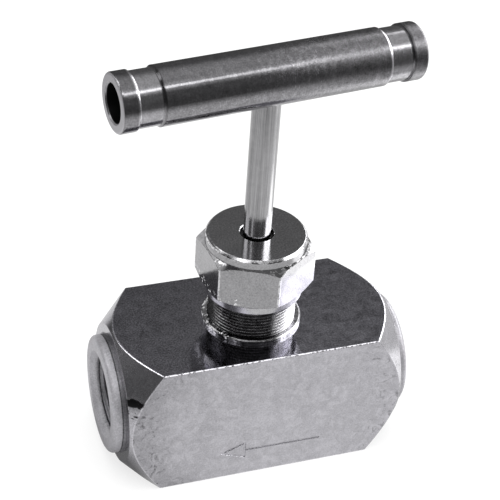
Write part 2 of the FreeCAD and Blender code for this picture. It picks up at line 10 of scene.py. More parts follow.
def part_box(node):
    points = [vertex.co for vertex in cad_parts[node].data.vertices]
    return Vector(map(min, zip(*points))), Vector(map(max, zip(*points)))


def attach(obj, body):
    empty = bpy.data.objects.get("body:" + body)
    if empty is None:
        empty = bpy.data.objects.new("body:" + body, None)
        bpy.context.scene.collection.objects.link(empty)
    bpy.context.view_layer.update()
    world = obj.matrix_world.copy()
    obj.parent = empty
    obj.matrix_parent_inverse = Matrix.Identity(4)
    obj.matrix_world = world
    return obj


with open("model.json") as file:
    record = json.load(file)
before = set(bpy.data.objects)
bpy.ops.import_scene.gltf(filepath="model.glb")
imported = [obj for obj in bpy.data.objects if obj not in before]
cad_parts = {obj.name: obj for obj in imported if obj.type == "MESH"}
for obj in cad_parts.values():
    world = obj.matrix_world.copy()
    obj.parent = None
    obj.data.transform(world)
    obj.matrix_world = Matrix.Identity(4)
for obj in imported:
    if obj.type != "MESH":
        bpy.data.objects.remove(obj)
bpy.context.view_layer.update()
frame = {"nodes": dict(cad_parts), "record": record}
SCENE = bpy.context.scene

# ---------------------------------------------------------------- places taken from the frame
BODY_LOW, BODY_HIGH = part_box("valve_body")
HANDLE_LOW, HANDLE_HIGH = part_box("handle_bar")
PORT_AXIS_Z = (BODY_LOW.z + BODY_HIGH.z) / 2
PORT_FACE_X = BODY_HIGH.x
MOUNTS = {m["name"]: m for m in frame["record"]["mounts"]}
PORT_RADIUS = MOUNTS["inlet_port"]["dims"]["r_mm"] / 1000

# The same places in millimetres, which the materials count in
MM = 1000.0
TOP_Z = BODY_HIGH.z * MM
SIDE_Y = BODY_HIGH.y * MM
PORT_Z = PORT_AXIS_Z * MM
HANDLE_Z = (HANDLE_LOW.z + HANDLE_HIGH.z) / 2 * MM

# ---------------------------------------------------------------- camera
CAMERA_TARGET = (-0.00157, 0, 0.06186)
CAMERA_AZIMUTH = 20.818
CAMERA_ELEVATION = 35.258
CAMERA_ROLL = -4.215
CAMERA_DISTANCE = 0.39646
CAMERA_LENS = 107.08
SENSOR_WIDTH = 36
CLIP_START = 0.01
CLIP_END = 20


def look_from(target, azimuth, elevation, distance, roll):
    """The camera's matrix from where it looks at, its bearing, its height angle and its roll."""
    back = Vector((
        -math.sin(azimuth) * math.cos(elevation),
        -math.cos(azimuth) * math.cos(elevation),
        math.sin(elevation),
    ))
    right = (-back).cross(Vector((0, 0, 1))).normalized()
    up = back.cross(right)
    cam_x = right * math.cos(roll) - up * math.sin(roll)
    cam_y = right * math.sin(roll) + up * math.cos(roll)
    matrix = Matrix((cam_x, cam_y, back)).transposed().to_4x4()
    matrix.translation = Vector(target) + back * distance
    return matrix


def make_camera():
    data = bpy.data.cameras.new("camera")
    data.lens = CAMERA_LENS
    data.sensor_width = SENSOR_WIDTH
    data.clip_start = CLIP_START
    data.clip_end = CLIP_END
    camera = bpy.data.objects.new("camera", data)
    SCENE.collection.objects.link(camera)
    camera.matrix_world = look_from(
        CAMERA_TARGET,
        math.radians(CAMERA_AZIMUTH),
        math.radians(CAMERA_ELEVATION),
        CAMERA_DISTANCE,
        math.radians(CAMERA_ROLL),
    )
    SCENE.camera = camera


# ---------------------------------------------------------------- node building
class Nodes:
    """Short calls for building a shader tree. A socket, a number or a tuple can be an input."""

    def __init__(self, tree):
        self.tree = tree
        tree.nodes.clear()

    def add(self, kind, **settings):
        node = self.tree.nodes.new(kind)
        for name, value in settings.items():
            setattr(node, name, value)
        return node

    def put(self, socket, value):
        if isinstance(value, bpy.types.NodeSocket):
            self.tree.links.new(value, socket)
        else:
            socket.default_value = value

    def fill(self, node, *values):
        """Puts the values in the node's first inputs, in order, and returns its first output."""
        for socket, value in zip(node.inputs, values):
            self.put(socket, value)
        return node.outputs[0]

    def finish(self, kind, socket, value):
        """Links the tree's output node, of this kind, to what was built."""
        self.put(self.add(kind).inputs[socket], value)

    # Arithmetic
    def math(self, operation, *values, clamp=False):
        node = self.add("ShaderNodeMath", operation=operation, use_clamp=clamp)
        return self.fill(node, *values)

    def sum(self, *values):
        total = values[0]
        for value in values[1:]:
            total = self.math("ADD", total, value)
        return total

    def times(self, *values):
        product = values[0]
        for value in values[1:]:
            product = self.math("MULTIPLY", product, value)
        return product

    def less(self, first, second, clamp=False):
        return self.math("SUBTRACT", first, second, clamp=clamp)

    def abs(self, value):
        return self.math("ABSOLUTE", value)

    def greatest(self, *values):
        most = values[0]
        for value in values[1:]:
            most = self.math("MAXIMUM", most, value)
        return most

    def swing(self, field, amount):
        """A noise field turned into a change of plus or minus half of amount."""
        return self.times(self.less(field, 0.5), amount)

    def radius(self, first, second):
        return self.math("SQRT", self.sum(self.times(first, first), self.times(second, second)))

    def bearing(self, x, y):
        return self.math("ARCTAN2", y, x)

    # Masks
    def step(self, value, low, high, out_low=0.0, out_high=1.0, kind="SMOOTHSTEP"):
        """Goes from out_low to out_high as value goes from low to high."""
        node = self.add("ShaderNodeMapRange", interpolation_type=kind)
        return self.fill(node, value, low, high, out_low, out_high)

    def band(self, value, low, high, soft):
        """1 where value is between low and high, with soft shoulders outside them."""
        return self.times(self.step(value, low - soft, low), self.step(value, high + soft, high))

    def sector(self, angle, low, high, soft):
        """The same for an angle, with the limits in degrees."""
        return self.band(angle, math.radians(low), math.radians(high), math.radians(soft))

    def mix(self, factor, first, second):
        """A mix of two numbers."""
        node = self.add("ShaderNodeMix", data_type="FLOAT")
        for index, value in ((0, factor), (2, first), (3, second)):
            self.put(node.inputs[index], value)
        return node.outputs[0]

    def layers(self, base, *layers):
        """A number with (mask, number) layers over it, each covering the ones before."""
        for mask, value in layers:
            base = self.mix(mask, base, value)
        return base

    def ramp(self, value, stops):
        """A grey ramp from (position, level) stops."""
        node = self.add("ShaderNodeValToRGB")
        elements = node.color_ramp.elements
        while len(elements) < len(stops):
            elements.new(0.5)
        for element, (position, level) in zip(elements, stops):
            element.position = position
            element.color = (level, level, level, 1)
        return self.fill(node, value)

    # Vectors
    def split(self, vector):
        node = self.add("ShaderNodeSeparateXYZ")
        self.put(node.inputs[0], vector)
        return tuple(node.outputs)

    def stretched(self, place, x, y, z):
        """Coordinates scaled by x, y and z: noise in them is long where the scale is small."""
        return self.fill(self.add("ShaderNodeVectorMath", operation="MULTIPLY"), place, (x, y, z))

    def distance(self, place, centre):
        off = self.fill(self.add("ShaderNodeVectorMath", operation="SUBTRACT"), place, centre)
        length = self.add("ShaderNodeVectorMath", operation="LENGTH")
        self.put(length.inputs[0], off)
        return length.outputs["Value"]

    # Textures and normals
    def noise(self, place, scale, detail=2.0, roughness=0.5, distortion=0.0, dimensions="3D"):
        node = self.add("ShaderNodeTexNoise", noise_dimensions=dimensions)
        self.put(node.inputs["W" if dimensions == "1D" else "Vector"], place)
        node.inputs["Scale"].default_value = scale
        node.inputs["Detail"].default_value = detail
        node.inputs["Roughness"].default_value = roughness
        node.inputs["Distortion"].default_value = distortion
        return node.outputs[0]

    def lines(self, value, scale, detail=2.0, roughness=0.5):
        """Noise along one number: rings or lines where the number is the same."""
        return self.noise(value, scale, detail, roughness, dimensions="1D")

    def bump(self, height, normal=None):
        """The normal after a bump whose height is in millimetres."""
        node = self.add("ShaderNodeBump")
        node.inputs["Strength"].default_value = 1.0
        node.inputs["Distance"].default_value = 1 / MM
        self.put(node.inputs["Height"], height)
        if normal is not None:
            self.put(node.inputs["Normal"], normal)
        return node.outputs[0]

    def bevel(self, radius):
        """The normal with its edges rounded by a radius in metres."""
        node = self.add("ShaderNodeBevel", samples=6)
        self.put(node.inputs["Radius"], radius)
        return node.outputs[0]


def new_material(name):
    """An empty material, its nodes, its object coordinates in millimetres and its normal."""
    material = bpy.data.materials.new(name)
    material.use_nodes = True
    n = Nodes(material.node_tree)
    coordinates = n.add("ShaderNodeTexCoord")
    scaled = n.add("ShaderNodeVectorMath", operation="SCALE")
    n.put(scaled.inputs[0], coordinates.outputs["Object"])
    scaled.inputs["Scale"].default_value = MM
    return material, n, scaled.outputs[0], coordinates.outputs["Normal"]


def finish_surface(n, level, tint, roughness, normal, metallic):
    """The shader for a grey level, whose green and blue are the level times tint's two numbers.

    metallic is 1 for bare metal, less where the metal is dull and where painted highlights and
    painted lightening are made near-white and matt, and 0 for rubber and plastic.
    """
    green, blue = tint
    shader = n.add("ShaderNodeBsdfPrincipled")
    colour = n.fill(
        n.add("ShaderNodeCombineXYZ"), level, n.times(level, green), n.times(level, blue),
    )
    n.put(shader.inputs["Base Color"], colour)
    n.put(shader.inputs["Metallic"], metallic)
    n.put(shader.inputs["Roughness"], roughness)
    n.put(shader.inputs["Normal"], normal)
    n.finish("ShaderNodeOutputMaterial", "Surface", shader.outputs[0])
    return shader


# ---------------------------------------------------------------- where the surfaces change
# Millimetres. A pair says where a soft step begins and ends. Three numbers are a band's low and
# high and the soft shoulder outside them.
UNDER_A_FLAT = (0.5, 0.3)        # depth below one of the bar's flats
FACES_A_FLAT = (0.90, 0.99)      # the normal's share along the flat's own direction
FACES_A_SIDE = (0.93, 0.995)
EDGE_WIDTH = (0.24, 0.08)        # distance from an edge that is worn bright
EDGE_HIGHLIGHT_WIDTH = (0.34, 0.20)      # distance from a side's edge where a painted highlight is laid
CONE_SUM = 58.5                  # distance from the middle plus radius, all over a 45 degree cone
SIN_45 = 0.7071
PORT_WALL = (11.2, 10.8)         # radius
PORT_INNER_END = (20.0, 24.0)    # distance from the middle
BOSS_START = (39.2, 39.5)        # distance from the middle
# Where painted shade darkens the base of the left boss next to the shoulder, with a darker painted
# line
BOSS_FOOT_START = (38.7, 39.0)
BOSS_FOOT_END = (40.35, 40.05)
BOSS_FOOT_RADIUS = (17.0, 16.6)
BOSS_FOOT_LINE = (39.95, 40.25, 0.12)
# Height band of the painted dark reflection on the left cone
CONE_REFLECTION_HEIGHT = (26.8, 31.6, 0.5)

HEXAGON_START = (52.0, 52.6)     # height
HEXAGON_INNER = (13.2, 13.9)     # radius
NECK_END = (50.2, 49.9)          # height
STEM_HOLE = (4.72, 4.55)         # radius
COLLAR_EDGE = (12.8, 13.0)       # radius
COLLAR_TOP = (66.5, 66.8)        # height
HEXAGON_CORNER = (15.90, 16.02)  # radius
SLOPE_RADIUS = (13.3, 13.6)
SLOPE_HEIGHT = (62.0, 62.6)
# Height of the painted shade line where the collar meets the hexagon
SEAM_SHADE_HEIGHT = (64.45, 64.95, 0.15)
HOLE_LIP_RADIUS = (4.62, 4.80, 0.08)
HOLE_LIP_HEIGHT = (66.9, 67.1)

HANDLE_ANGLE = math.radians(7)
HANDLE_OFF_CENTRE = 0.3
HANDLE_BORE = (5.00, 4.92)       # radius
GROOVE_INNER = 30.8              # distance from the bar's middle
GROOVE_OUTER = 37.2
LIP_WIDTH = (0.60, 0.30)         # distance from a groove's edge
HANDLE_FACE = (40.6, 40.9)       # distance from the bar's middle


# ---------------------------------------------------------------- materials
def body_material():
    """Bar stock: buffed top, satin front and back, turned ends, dull bores and worn edges, with a
    painted highlight along the edges between the flats and the front and back, painted shade at
    the base of the left boss and low on the right cone's front, and a painted dark reflection on
    the left cone.
    """
    material, n, place, normal = new_material("body_steel_finish")
    x, y, z = n.split(place)
    _, ny, nz = n.split(normal)
    end = n.abs(x)
    radius = n.radius(y, n.less(z, PORT_Z))
    far, near = UNDER_A_FLAT
    up = n.times(n.step(nz, *FACES_A_FLAT), n.step(z, TOP_Z - far, TOP_Z - near))
    side = n.times(
        n.step(n.abs(ny), *FACES_A_SIDE), n.step(n.abs(y), SIDE_Y - far, SIDE_Y - near),
    )
    under = n.times(n.step(nz, -FACES_A_FLAT[0], -FACES_A_FLAT[1]), n.step(z, far, near))
    flat = n.greatest(up, side, under)
    turned = n.less(1.0, flat, clamp=True)
    in_bore = n.times(n.step(radius, *PORT_WALL), n.step(end, *PORT_INNER_END))
    boss = n.step(end, *BOSS_START)
    turned_boss = n.times(boss, turned)
    left_half = n.step(x, 1.0, -1.0)
    # Painted shade at the base of the left boss, next to the shoulder, with a darker painted line
    shaded_foot = n.times(
        n.step(end, *BOSS_FOOT_END),
        n.step(radius, *BOSS_FOOT_RADIUS),
        n.step(end, *BOSS_FOOT_START),
        left_half,
    )
    foot_shade_line = n.band(end, *BOSS_FOOT_LINE)

    # Worn edges, where two of the flats, the sides and the cones come together, and a painted
    # highlight along the edges between the flats and the sides
    to_flat = n.math("MINIMUM", z, n.less(TOP_Z, z))
    to_side = n.less(SIDE_Y, n.abs(y))
    to_cone = n.times(n.less(CONE_SUM, n.sum(end, radius)), SIN_45)
    near_flat, near_side, near_cone = (
        n.step(distance, *EDGE_WIDTH) for distance in (to_flat, to_side, to_cone)
    )
    nicks = n.noise(place, 1.1, 3.0, 0.7)
    edge = n.times(
        n.greatest(
            n.times(near_flat, n.greatest(near_side, near_cone)),
            n.times(near_cone, near_side, 0.25),
        ),
        n.step(nicks, 0.34, 0.54),
    )
    # Painted highlight along the edges between the flats and the sides, broken by nicks
    painted_edge_highlight = n.times(
        n.step(to_flat, *EDGE_HIGHLIGHT_WIDTH), n.step(to_side, *EDGE_HIGHLIGHT_WIDTH), n.step(nicks, 0.42, 0.50),
    )

    # Belt lines along the bar, cloudy patches, grain and a few scratches
    lines = n.noise(n.stretched(place, 0.12, 9.0, 9.0), 1.0, 3.0, 0.65)
    cloud = n.noise(place, 0.16, 3.0, 0.55)
    ripple = n.noise(place, 0.10, 1.5, 0.4)
    speck = n.noise(place, 2.2, 3.0, 0.7)
    patches = n.noise(place, 0.33, 4.0, 0.65, 0.8)
    long_field = n.noise(n.stretched(place, 0.35, 4.5, 4.5), 0.6, 2.0, 0.5, 0.6)
    scratches = n.step(n.abs(n.less(long_field, 0.5)), 0.006, 0.0)
    cross_field = n.noise(n.stretched(place, 1.5, 0.25, 1.2), 0.45, 1.0, 0.5, 1.2)
    crosses = n.step(n.abs(n.less(cross_field, 0.47)), 0.003, 0.0)

    # Stains that gather along the arcs at the ends of the front and back
    arc = n.step(to_cone, 8.5, 1.0)
    stain_field = n.noise(place, 0.32, 4.0, 0.65, 1.4)
    stains = n.times(n.step(stain_field, 0.52, 0.66), n.sum(0.16, n.times(arc, 0.84)), side)
    haze = n.times(n.step(patches, 0.42, 0.62), side)

    # The right cone is darkened low down at its front, a painted shade, and the left one has a
    # band of dark patchy marks, a painted dark reflection
    on_cone = n.times(turned, n.step(y, -2.0, -6.0), n.step(radius, 17.5, 18.0))
    shaded_cone_low = n.times(on_cone, n.step(x, 30.0, 34.0), n.step(z, 36.0, 28.0))
    cone_reflection_band = n.times(on_cone, n.step(x, -30.0, -34.0), n.band(z, *CONE_REFLECTION_HEIGHT))
    reflection_field = n.noise(n.stretched(place, 0.35, 0.35, 0.9), 0.8, 2.0, 0.5)
    painted_cone_reflection = n.times(cone_reflection_band, n.step(reflection_field, 0.44, 0.52))

    # Rings left by the lathe on the cones, the shoulders and the bosses
    rings = n.lines(n.sum(radius, end), 3.2, 3.0, 0.7)

    roughness = n.sum(
        n.layers(
            0.20, (side, 0.34), (up, 0.085), (under, 0.30), (turned_boss, 0.46),
            (n.greatest(in_bore, shaded_foot), 0.50), (edge, 0.24),
        ),
        n.swing(cloud, n.mix(up, 0.12, 0.05)),
        n.swing(lines, n.mix(side, 0.02, 0.10)),
        n.times(scratches, 0.05),
    )

    depth_light = n.ramp(n.step(end, 33.0, 43.0, kind="LINEAR"), [
        (0.0, 0.70), (0.30, 0.40), (0.50, 0.16), (0.64, 0.13), (0.80, 0.30), (0.95, 0.56),
    ])
    level = n.sum(
        n.layers(
            0.48,
            (side, n.step(x, -30.0, 5.0, 0.49, 0.53)),
            (up, n.step(x, -28.0, 22.0, 0.31, 0.42)),
            (turned_boss, 0.43),
            (in_bore, depth_light),
            (shaded_foot, n.mix(foot_shade_line, 0.32, 0.10)),
        ),
        n.swing(cloud, 0.08),
        n.swing(patches, n.mix(up, 0.24, n.step(x, -10.0, 25.0, 0.36, 0.80))),
        n.swing(speck, n.mix(up, 0.48, 1.15)),
        n.times(scratches, -0.03),
        n.times(haze, 0.035),
        n.times(stains, -0.22),
        # Darker along the arcs on the left half of the front and back
        n.times(arc, side, left_half, -0.10),
        n.times(shaded_cone_low, -0.20),
        n.times(painted_cone_reflection, -0.50),
    )
    # Worn edges and the painted edge highlight go near-white; the painted highlight is also mostly
    # matt, so it stays light whatever the metal reflects
    level = n.greatest(n.mix(n.greatest(edge, painted_edge_highlight), level, 0.95), 0.03)
    dull = n.sum(n.times(turned_boss, 0.42), n.times(in_bore, 0.50), n.times(painted_edge_highlight, 0.85))
    metallic = n.less(1.0, n.times(dull, n.less(1.0, shaded_foot)), clamp=True)

    height = n.sum(
        n.times(lines, flat, n.mix(up, 0.0022, 0.0003)),
        n.times(rings, turned, 0.006),
        n.times(scratches, flat, -0.0012),
        n.times(crosses, flat, -0.0010),
        n.times(speck, side, 0.0016),
        n.times(ripple, n.mix(up, 0.010, 0.030)),
    )
    rounded = n.bevel(n.step(radius, 17.0, 18.5, 0.0, 0.00030))
    finish_surface(
        n, level, (0.985, n.mix(up, 1.045, 1.09)), n.greatest(roughness, 0.05),
        n.bump(height, rounded), metallic,
    )
    return material


def bonnet_material():
    """Turned and buffed bonnet: rings on the turned faces, milled lines across the hexagon, and
    painted light and shade on the thread, the hexagon, its sloped shoulder, the stem hole and in
    whitish specks.
    """
    material, n, place, normal = new_material("bonnet_steel_finish")
    x, y, z = n.split(place)
    _, _, nz = n.split(normal)
    radius = n.radius(x, y)
    top = n.step(nz, 0.9, 0.99)
    hexagon = n.times(
        n.step(z, *HEXAGON_START), n.step(n.abs(nz), 0.12, 0.04), n.step(radius, *HEXAGON_INNER),
    )
    thread = n.step(z, *NECK_END)
    # Painted shade: the stem hole's wall is made almost black
    shaded_hole_wall = n.step(radius, *STEM_HOLE)
    lit_side = n.sector(n.bearing(x, y), -76, 20, 8)
    # Painted light: the hexagon's left facet is made lighter than its other facets
    lightened_left_facet = n.times(hexagon, n.step(x, -13.0, -13.2))
    rings = n.lines(n.sum(radius, n.times(z, 0.97)), 4.5, 3.0, 0.75)
    mill = n.noise(n.stretched(place, 6.0, 6.0, 0.15), 1.0, 3.0, 0.65)
    cloud = n.noise(place, 0.22, 3.0, 0.55)
    grain = n.noise(place, 2.4, 3.0, 0.7)
    grime = n.noise(place, 0.9, 4.0, 0.65)
    nicks = n.noise(place, 0.8, 3.0, 0.7)

    # Worn bright: the collar's rim, the hexagon's corners and the hole's lip; and painted
    # highlights as whitish specks low on the left
    rim = n.times(n.step(radius, *COLLAR_EDGE), n.step(z, *COLLAR_TOP))
    corners = n.times(n.step(radius, *HEXAGON_CORNER), n.less(1.0, thread), 0.7)
    lip = n.times(n.band(radius, *HOLE_LIP_RADIUS), n.step(z, *HOLE_LIP_HEIGHT))
    worn = n.greatest(n.times(n.greatest(rim, corners), n.step(nicks, 0.40, 0.56)), lip)
    # Painted highlights: whitish specks low on the left
    glint_specks = n.times(
        n.step(z, 55.5, 54.8), n.step(z, 51.8, 52.3), n.step(x, -7.0, -9.0),
        n.step(nicks, 0.55, 0.60),
    )

    # The hexagon's sloped shoulder: painted lighter and matt on the left, painted shade at the
    # front, and a painted shade line where the collar meets the hexagon
    sloped = n.times(
        n.step(radius, *SLOPE_RADIUS), n.step(z, *SLOPE_HEIGHT), n.step(nz, 0.25, 0.45),
    )
    lightened_slope = n.times(sloped, n.step(x, -7.0, -10.0), n.step(y, -7.5, -4.0))
    shaded_slope = n.times(
        sloped, n.step(y, -4.0, -7.5), n.less(1.0, lit_side), n.step(nicks, 0.60, 0.54),
    )
    painted_seam_shade = n.times(
        n.band(z, *SEAM_SHADE_HEIGHT), n.step(radius, 14.9, 14.4), n.step(nicks, 0.62, 0.50),
    )

    roughness = n.sum(
        n.layers(0.15, (hexagon, 0.13), (top, 0.12), (thread, 0.20)),
        n.swing(cloud, 0.10),
        n.swing(rings, 0.05),
    )
    # Painted light and shade: the hexagon is lighter low down on the lit side, and the thread is
    # light on the lit side and dark elsewhere
    hexagon_level = n.mix(n.times(lit_side, n.step(z, 62.5, 60.0)), 0.36, 0.52)
    level = n.sum(
        n.layers(
            0.50, (thread, n.mix(lit_side, 0.13, 0.60)), (hexagon, hexagon_level), (top, 0.46),
            (shaded_hole_wall, 0.04), (lightened_left_facet, 0.43), (painted_seam_shade, 0.08),
        ),
        n.swing(cloud, 0.08),
        n.swing(grain, n.mix(top, 0.42, 1.00)),
        n.swing(grime, n.mix(thread, 0.14, 0.40)),
    )
    level = n.layers(
        level, (lightened_slope, n.sum(0.40, n.swing(grime, 0.60))), (shaded_slope, 0.13),
        (n.greatest(worn, glint_specks), 0.92),
    )
    metallic = n.less(1.0, n.greatest(n.times(glint_specks, 0.70), n.times(lightened_slope, 0.75)))
    height = n.sum(
        n.times(rings, n.less(1.0, hexagon), 0.004),
        n.times(mill, hexagon, 0.0016),
        n.times(cloud, 0.02),
    )
    rounded = n.bevel(n.step(radius, 7.0, 9.5, 0.0, 0.00028))
    finish_surface(
        n, n.greatest(level, 0.02), (0.993, 1.02), n.greatest(roughness, 0.06),
        n.bump(height, rounded), metallic,
    )
    return material


def ring_material():
    """The lock ring: turned, a little duller than the bonnet, with painted shade on its front and
    painted highlights as whitish specks on its left.
    """
    material, n, place, _ = new_material("ring_steel_finish")
    x, y, z = n.split(place)
    rings = n.lines(n.sum(n.radius(x, y), z), 5.0, 3.0, 0.7)
    cloud = n.noise(place, 0.7, 3.0, 0.65)
    # Painted shade: the ring's front is made dark
    painted_shade_side = n.sector(n.bearing(x, y), -150, -78, 12)
    # Painted highlights: whitish specks on the ring's left
    glint_specks = n.times(n.step(x, -6.5, -10.5), n.step(n.noise(place, 0.75, 2.0, 0.6), 0.53, 0.60))
    level = n.sum(n.mix(painted_shade_side, 0.55, 0.12), n.swing(cloud, n.mix(painted_shade_side, 1.1, 0.5)))
    level = n.mix(glint_specks, n.greatest(level, 0.03), 0.90)
    height = n.sum(n.times(rings, 0.004), n.times(cloud, 0.06))
    finish_surface(
        n, level, (0.994, 1.02), n.sum(0.14, n.times(cloud, 0.08)),
        n.bump(height, n.bevel(0.00015)), n.step(glint_specks, 0.0, 1.0, 1.0, 0.35),
    )
    return material


def stem_material():
    """Stem: drawn lines along its length over a ground surface, with its right side painted
    lighter.
    """
    material, n, place, _ = new_material("stem_steel_finish")
    x, y, z = n.split(place)
    along = n.noise(n.stretched(place, 4.0, 4.0, 0.045), 1.0, 4.0, 0.75)
    wide = n.noise(n.stretched(place, 1.1, 1.1, 0.02), 1.0, 2.0, 0.5)
    rings = n.lines(z, 6.0, 2.0, 0.6)
    worn = n.noise(place, 0.45, 4.0, 0.65)
    # Painted light: a lighter band painted down the stem's right side
    polished = n.step(n.bearing(x, y), math.radians(-108), math.radians(-78))
    roughness = n.sum(0.17, n.swing(along, 0.20), n.swing(worn, 0.10))
    level = n.sum(
        0.36,
        n.swing(along, 0.60),
        n.swing(wide, 0.30),
        n.swing(worn, 0.16),
        n.times(polished, 0.13),
    )
    height = n.sum(n.times(along, 0.008), n.times(wide, 0.016), n.times(rings, 0.0008))
    finish_surface(
        n, n.greatest(level, 0.05), (0.994, 1.015), n.greatest(roughness, 0.08),
        n.bump(height), 1.0,
    )
    return material


def handle_material():
    """Handle bar: darker steel with fine turning lines round it and brighter grooves, with painted
    highlights and painted dark reflections at the grooves' lips, and painted shade towards its
    right end and in the holes at its ends.
    """
    material, n, place, normal = new_material("handle_steel_finish")
    turn = n.add("ShaderNodeVectorRotate", rotation_type="Z_AXIS")
    n.put(turn.inputs["Vector"], place)
    turn.inputs["Angle"].default_value = -HANDLE_ANGLE
    bar = turn.outputs[0]
    x, y, z = n.split(bar)
    nx, _, _ = n.split(normal)
    dz = n.less(z, HANDLE_Z)
    radius = n.radius(y, dz)
    end = n.abs(n.less(x, HANDLE_OFF_CENTRE))
    fine = n.lines(n.sum(x, n.times(radius, 0.9)), 7.0, 3.0, 0.75)
    coarse = n.lines(x, 0.8, 2.0, 0.6)
    mottle = n.noise(bar, 0.65, 4.0, 0.65)
    grain = n.noise(bar, 2.4, 3.0, 0.7)

    # Painted shade: the holes at the bar's ends are made almost black
    shaded_bore = n.step(radius, *HANDLE_BORE)
    face = n.times(
        n.step(n.abs(nx), 0.55, 0.80), n.step(radius, *reversed(HANDLE_BORE)),
        n.step(end, *HANDLE_FACE),
    )
    collar = n.step(end, GROOVE_OUTER + 0.1, GROOVE_OUTER + 0.5)
    groove = n.times(
        n.step(end, GROOVE_INNER - 0.2, GROOVE_INNER + 0.2),
        n.step(end, GROOVE_OUTER + 0.1, GROOVE_OUTER - 0.2),
    )
    rub = n.times(n.step(fine, 0.60, 0.66), n.step(mottle, 0.52, 0.58), n.step(end, 31.0, 29.0))

    # Each groove has a painted highlight on one lip and a painted dark reflection on the other,
    # the same way round on both ends of the bar
    on_right = n.step(x, -1.0, 1.0)
    inner_lip, outer_lip = (
        n.step(n.abs(n.less(end, lip)), *LIP_WIDTH) for lip in (GROOVE_INNER, GROOVE_OUTER)
    )
    painted_highlight_lip = n.times(n.mix(on_right, outer_lip, inner_lip), n.step(dz, 1.5, 5.0, 0.35, 1.0))
    painted_reflection_lip = n.times(
        n.mix(on_right, inner_lip, outer_lip),
        n.step(dz, 0.5, 2.5, 0.35, 1.0),
        n.step(y, 0.5, -1.5, 0.30, 1.0),
    )

    roughness = n.sum(
        n.step(x, -18.0, 22.0, 0.085, 0.30),
        n.swing(fine, 0.06),
        n.swing(mottle, 0.12),
        n.times(collar, 0.06),
    )
    roughness = n.layers(
        roughness, (groove, n.mix(on_right, 0.14, 0.18)), (n.greatest(shaded_bore, face), 0.40),
    )
    level = n.sum(
        0.31,
        n.swing(fine, 0.05),
        n.swing(coarse, 0.06),
        n.swing(mottle, 0.26),
        n.swing(grain, 0.40),
        # Grooves are brighter; the right one more so, partly as a painted highlight
        n.times(groove, n.mix(on_right, 0.13, 0.24)),
        # Painted shade: the right groove is darker at its bottom
        n.times(groove, on_right, n.step(dz, 1.0, -3.0), -0.24),
        n.times(collar, -0.02),
        n.times(rub, 0.22),
        # Painted shade: the bar darkens towards its right end
        n.step(x, 0.0, 26.0, 0.0, -0.09),
    )
    level = n.layers(
        level, (n.times(painted_highlight_lip, 0.85), 0.95), (n.times(painted_reflection_lip, 0.85), 0.08), (face, 0.50),
        (shaded_bore, 0.04),
    )
    height = n.sum(n.times(fine, 0.002), n.times(coarse, 0.007), n.times(mottle, 0.008))
    finish_surface(
        n, n.greatest(level, 0.02), (0.985, 1.03), roughness,
        n.bump(height, n.bevel(0.00025)), n.step(face, 0.0, 1.0, 1.0, 0.70),
    )
    return material


def pin_material():
    """The pin's end: centreless-ground and lightly marked."""
    material, n, place, _ = new_material("pin_steel_finish")
    x, _, z = n.split(place)
    rings = n.lines(n.radius(x, n.less(z, HANDLE_Z)), 8.0, 3.0, 0.7)
    cloud = n.noise(place, 0.9, 3.0, 0.6)
    finish_surface(
        n, n.sum(0.30, n.times(cloud, 0.10)), (0.99, 1.0), n.sum(0.24, n.times(cloud, 0.12)),
        n.bump(n.times(rings, 0.004)), 1.0,
    )
    return material


def hard_material():
    """Hardened inner pieces: fine ground rings."""
    material, n, place, _ = new_material("hard_steel_finish")
    x, y, z = n.split(place)
    rings = n.lines(n.sum(n.radius(x, y), z), 6.0, 3.0, 0.7)
    cloud = n.noise(place, 0.8, 3.0, 0.6)
    finish_surface(
        n, n.sum(0.42, n.times(cloud, 0.10)), (0.995, 1.02), n.sum(0.16, n.times(cloud, 0.10)),
        n.bump(n.times(rings, 0.003)), 1.0,
    )
    return material


def rubber_material():
    """Black rubber with a fine matt grain and a dusty bloom."""
    material, n, place, _ = new_material("seal_rubber_finish")
    grain = n.noise(place, 6.0, 3.0, 0.6)
    bloom = n.noise(place, 0.8, 3.0, 0.6)
    finish_surface(
        n, n.sum(0.012, n.times(bloom, 0.018), n.times(grain, 0.006)), (1.0, 1.05),
        n.sum(0.48, n.times(bloom, 0.2)), n.bump(n.times(grain, 0.02)), 0.0,
    )
    return material


def ptfe_material():
    """White PTFE: waxy, with faint turning rings."""
    material, n, place, _ = new_material("packing_ptfe_finish")
    x, y, z = n.split(place)
    rings = n.lines(n.sum(n.radius(x, y), z), 5.0, 2.0, 0.6)
    cloud = n.noise(place, 0.6, 3.0, 0.6)
    shader = finish_surface(
        n, n.sum(0.80, n.times(cloud, 0.10)), (1.0, 0.98), n.sum(0.38, n.times(cloud, 0.15)),
        n.bump(n.times(rings, 0.004)), 0.0,
    )
    shader.inputs["Subsurface Weight"].default_value = 0.15
    shader.inputs["Subsurface Scale"].default_value = 0.001
    return material


MATERIALS = {
    "body_steel": body_material,
    "bonnet_steel": bonnet_material,
    "ring_steel": ring_material,
    "stem_steel": stem_material,
    "handle_steel": handle_material,
    "pin_steel": pin_material,
    "hard_steel": hard_material,
    "packing_ptfe": ptfe_material,
    "seal_rubber": rubber_material,
}


def dress_nodes():
    """Gives every CAD node the procedural material of its slot, and returns the materials."""
    made = {slot: make() for slot, make in MATERIALS.items()}
    for part in frame["record"]["subparts"]:
        for slot in frame["nodes"][part["node"]].material_slots:
            slot.material = made[part["material_slot"]]
    return made


